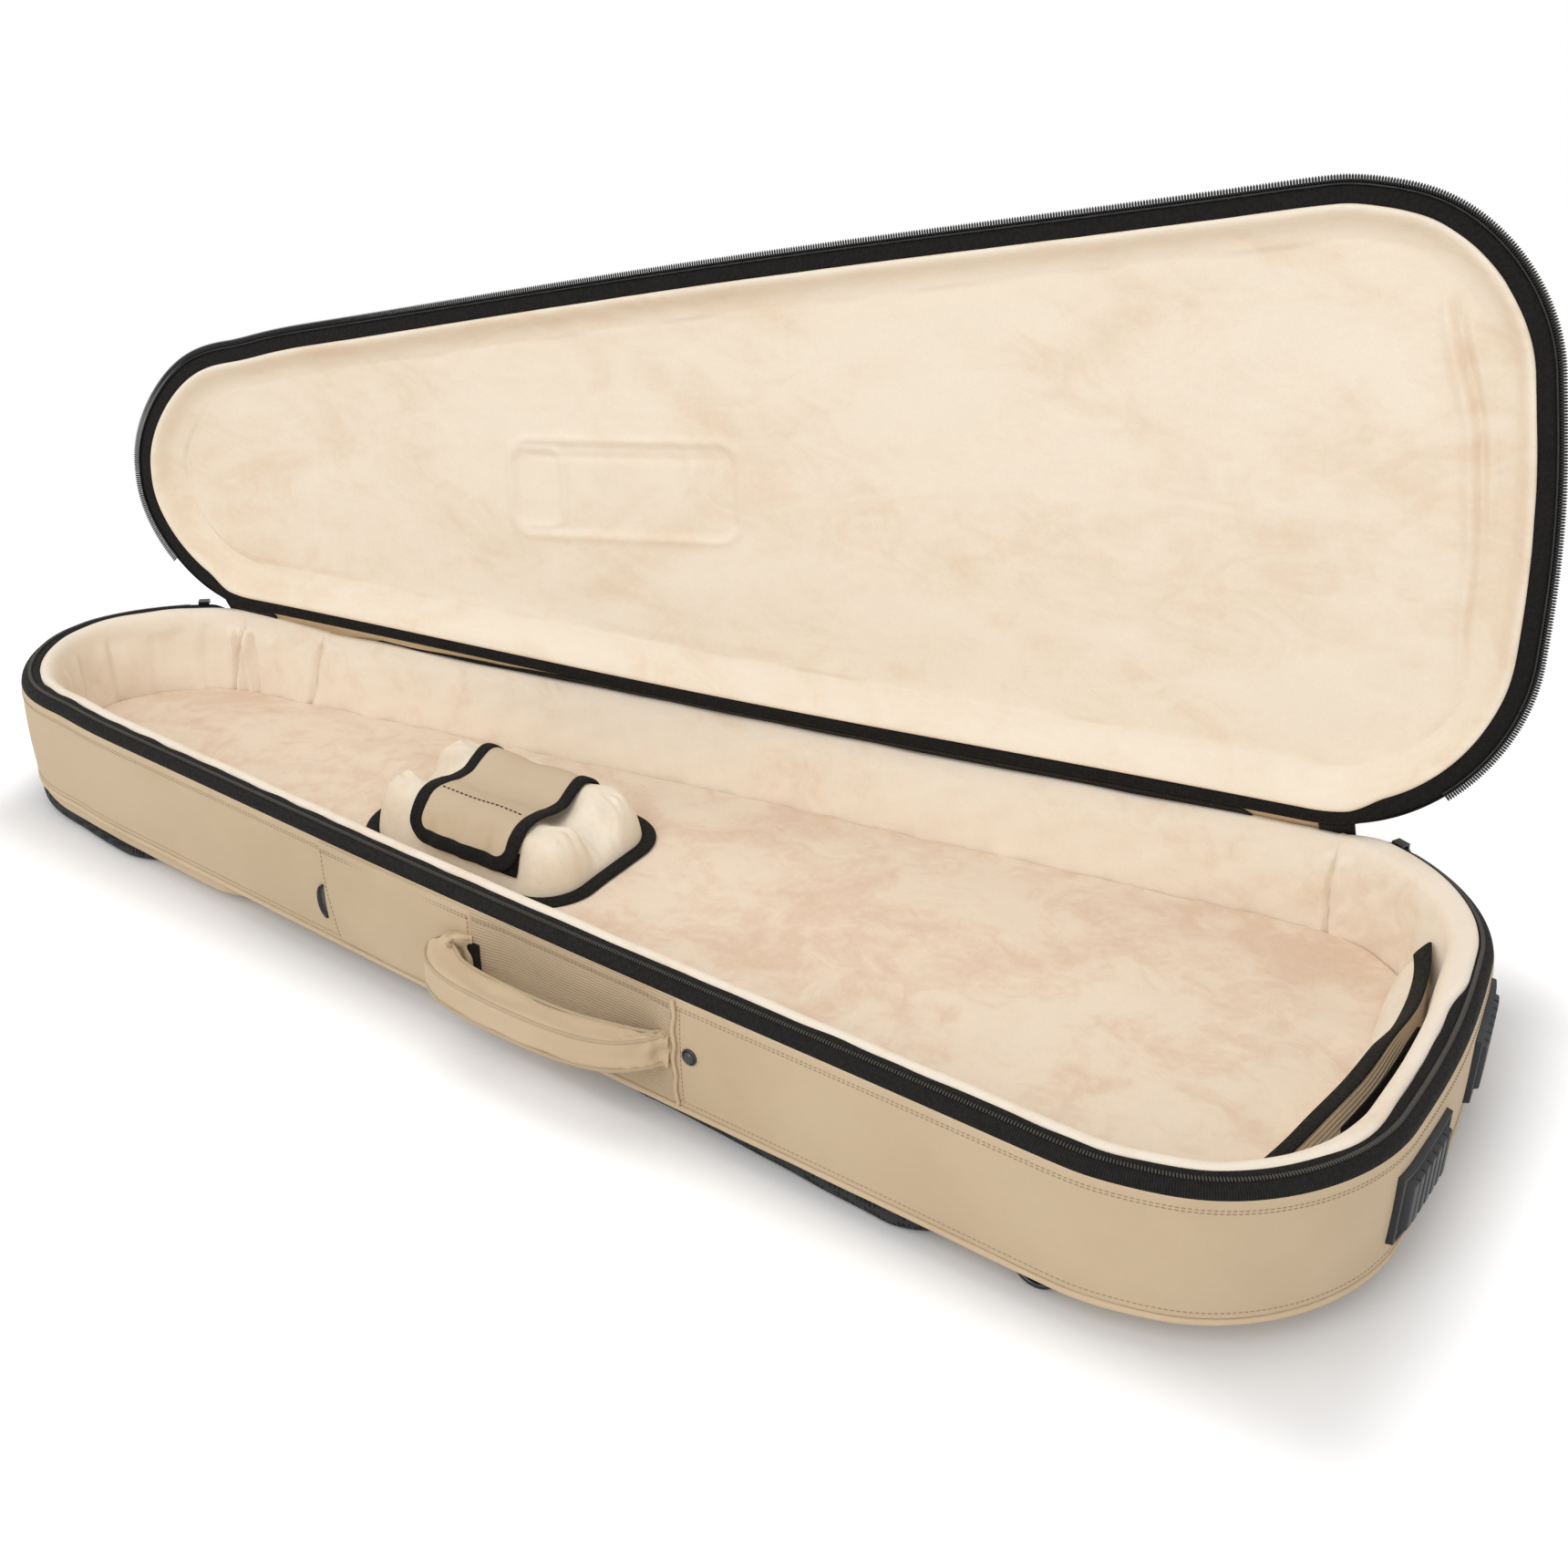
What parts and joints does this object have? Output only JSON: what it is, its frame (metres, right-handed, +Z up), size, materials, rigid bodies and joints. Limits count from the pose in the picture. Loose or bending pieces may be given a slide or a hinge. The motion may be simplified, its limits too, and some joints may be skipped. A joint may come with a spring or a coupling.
{
  "type": "guitar gig bag",
  "caption": "Padded wedge-shaped electric guitar gig bag lying open, with plush lining, neck cradle with a strap flap, end pocket, carry handle and wrap-round zipper.",
  "frame": {"origin": "on the floor, in the middle of the mesh back pad's flat underside that the bag rests on", "axes": "+X along the bag from the narrow head end to the wide end, +Y towards the hinge side, +Z up out of the tray"},
  "size_m": [1.1448, 0.4966, 0.5172],
  "materials": {
    "khaki_fabric": "woven polyester",
    "cream_plush": "short-pile plush",
    "cradle_felt": "brushed felt",
    "grey_foam": "closed-cell foam",
    "black_tape": "ribbed woven tape",
    "black_mesh": "spacer mesh",
    "black_plastic": "moulded",
    "black_metal": "black coated",
    "black_rubber": "ribbed, satin"
  },
  "bodies": {
    "base_tray": {"base_side_wall": "khaki_fabric", "bottom_panel": "khaki_fabric", "bottom_piping": "khaki_fabric", "end_pocket_back_sheet": "khaki_fabric", "side_overlay_panel": "khaki_fabric", "handle_backing_panel": "khaki_fabric", "handle_seam_piping": "khaki_fabric", "strap_cover": "khaki_fabric", "base_wall_lining": "cream_plush", "floor_cushion": "cream_plush", "neck_cradle": "cradle_felt", "end_pocket_panel": "cradle_felt", "base_wall_foam": "grey_foam", "floor_foam_board": "grey_foam", "base_rim_facing": "black_tape", "base_zipper_tape": "black_tape", "zipper_end_tab_head": "black_tape", "zipper_end_tab_tail": "black_tape", "cradle_binding": "black_tape", "cradle_loop_patch": "black_tape", "end_pocket_binding": "black_tape", "pocket_closure_strip": "black_tape", "strap_webbing_near": "black_tape", "strap_webbing_far": "black_tape", "ring_loop_near": "black_tape", "ring_loop_far": "black_tape", "mesh_back_pad": "black_mesh", "head_back_pad": "black_mesh", "base_zipper_coil": "black_plastic", "side_grommet": "black_plastic", "handle_rivet": "black_metal", "bumper_near": "black_rubber", "bumper_far": "black_rubber"},
    "hinge_gusset": {"hinge_strip": "khaki_fabric"},
    "lid": {"lid_side_wall": "khaki_fabric", "lid_top_panel": "khaki_fabric", "lid_piping": "khaki_fabric", "lid_wall_foam": "grey_foam", "lid_foam_board": "grey_foam", "lid_lining": "cream_plush", "lid_rim_facing": "black_tape", "lid_zipper_tape": "black_tape", "lid_zipper_coil": "black_plastic"},
    "carry_handle": {"handle_cover": "khaki_fabric", "handle_core": "grey_foam"},
    "cradle_strap": {"cradle_flap": "khaki_fabric", "flap_binding": "black_tape", "flap_hook_patch": "black_tape"},
    "slider_head": {"zipper_slider_head": "black_metal"},
    "slider_tail": {"zipper_slider_tail": "black_metal"},
    "pull_head": {"zipper_pull_head": "black_plastic"},
    "pull_tail": {"zipper_pull_tail": "black_plastic"},
    "ring_near": {"d_ring_near": "black_metal"},
    "ring_far": {"d_ring_far": "black_metal"},
    "adjuster_near": {"strap_adjuster_near": "black_plastic"},
    "adjuster_far": {"strap_adjuster_far": "black_plastic"}
  },
  "joints": [
    {"name": "lid_lay_back", "type": "hinge", "parent": "base_tray", "child": "hinge_gusset", "pos_m": [-0.23948, 0.16642, 0.0942], "axis": [-0.9944, -0.1058, 0], "range_deg": [0, 80]},
    {"name": "lid_fold", "type": "hinge", "parent": "hinge_gusset", "child": "lid", "pos_m": [-0.23732, 0.14616, 0.12045], "axis": [-0.9944, -0.1058, 0], "range_deg": [-99.5, 0], "deforming": ["hinge_strip"]},
    {"name": "handle_swing", "type": "hinge", "parent": "base_tray", "child": "carry_handle", "pos_m": [-0.13927, -0.17988, 0.064], "axis": [0.9952, -0.0974, 0], "range_deg": [-55, 50]},
    {"name": "flap_lift", "type": "hinge", "parent": "base_tray", "child": "cradle_strap", "pos_m": [-0.3195, 0.05177, 0.06989], "axis": [-1, 0, 0], "range_deg": [0, 110]},
    {"name": "slider_head_run", "type": "slide", "parent": "base_tray", "child": "slider_head", "axis": [-0.7726, -0.6349, 0], "range_m": [0, 0.012]},
    {"name": "slider_tail_run", "type": "slide", "parent": "base_tray", "child": "slider_tail", "axis": [0.8821, -0.4711, 0], "range_m": [0, 0.012]},
    {"name": "pull_head_swing", "type": "hinge", "parent": "slider_head", "child": "pull_head", "pos_m": [-0.72871, 0.09456, 0.1079], "axis": [0.7726, 0.6349, 0], "range_deg": [0, 100]},
    {"name": "pull_tail_swing", "type": "hinge", "parent": "slider_tail", "child": "pull_tail", "pos_m": [0.25716, 0.19762, 0.1079], "axis": [0.8821, -0.4711, 0], "range_deg": [0, 100]},
    {"name": "ring_near_swing", "type": "hinge", "parent": "base_tray", "child": "ring_near", "pos_m": [0.17405, -0.18933, 0.0158], "axis": [0.9963, -0.0859, 0], "range_deg": [-80, 80]},
    {"name": "ring_far_swing", "type": "hinge", "parent": "base_tray", "child": "ring_far", "pos_m": [0.17405, 0.18933, 0.0158], "axis": [0.9963, 0.0859, 0], "range_deg": [-80, 80]},
    {"name": "adjuster_near_slide", "type": "slide", "parent": "base_tray", "child": "adjuster_near", "axis": [1, 0, 0], "range_m": [-0.03, 0.27]},
    {"name": "adjuster_far_slide", "type": "slide", "parent": "base_tray", "child": "adjuster_far", "axis": [1, 0, 0], "range_m": [-0.03, 0.27]}
  ]
}
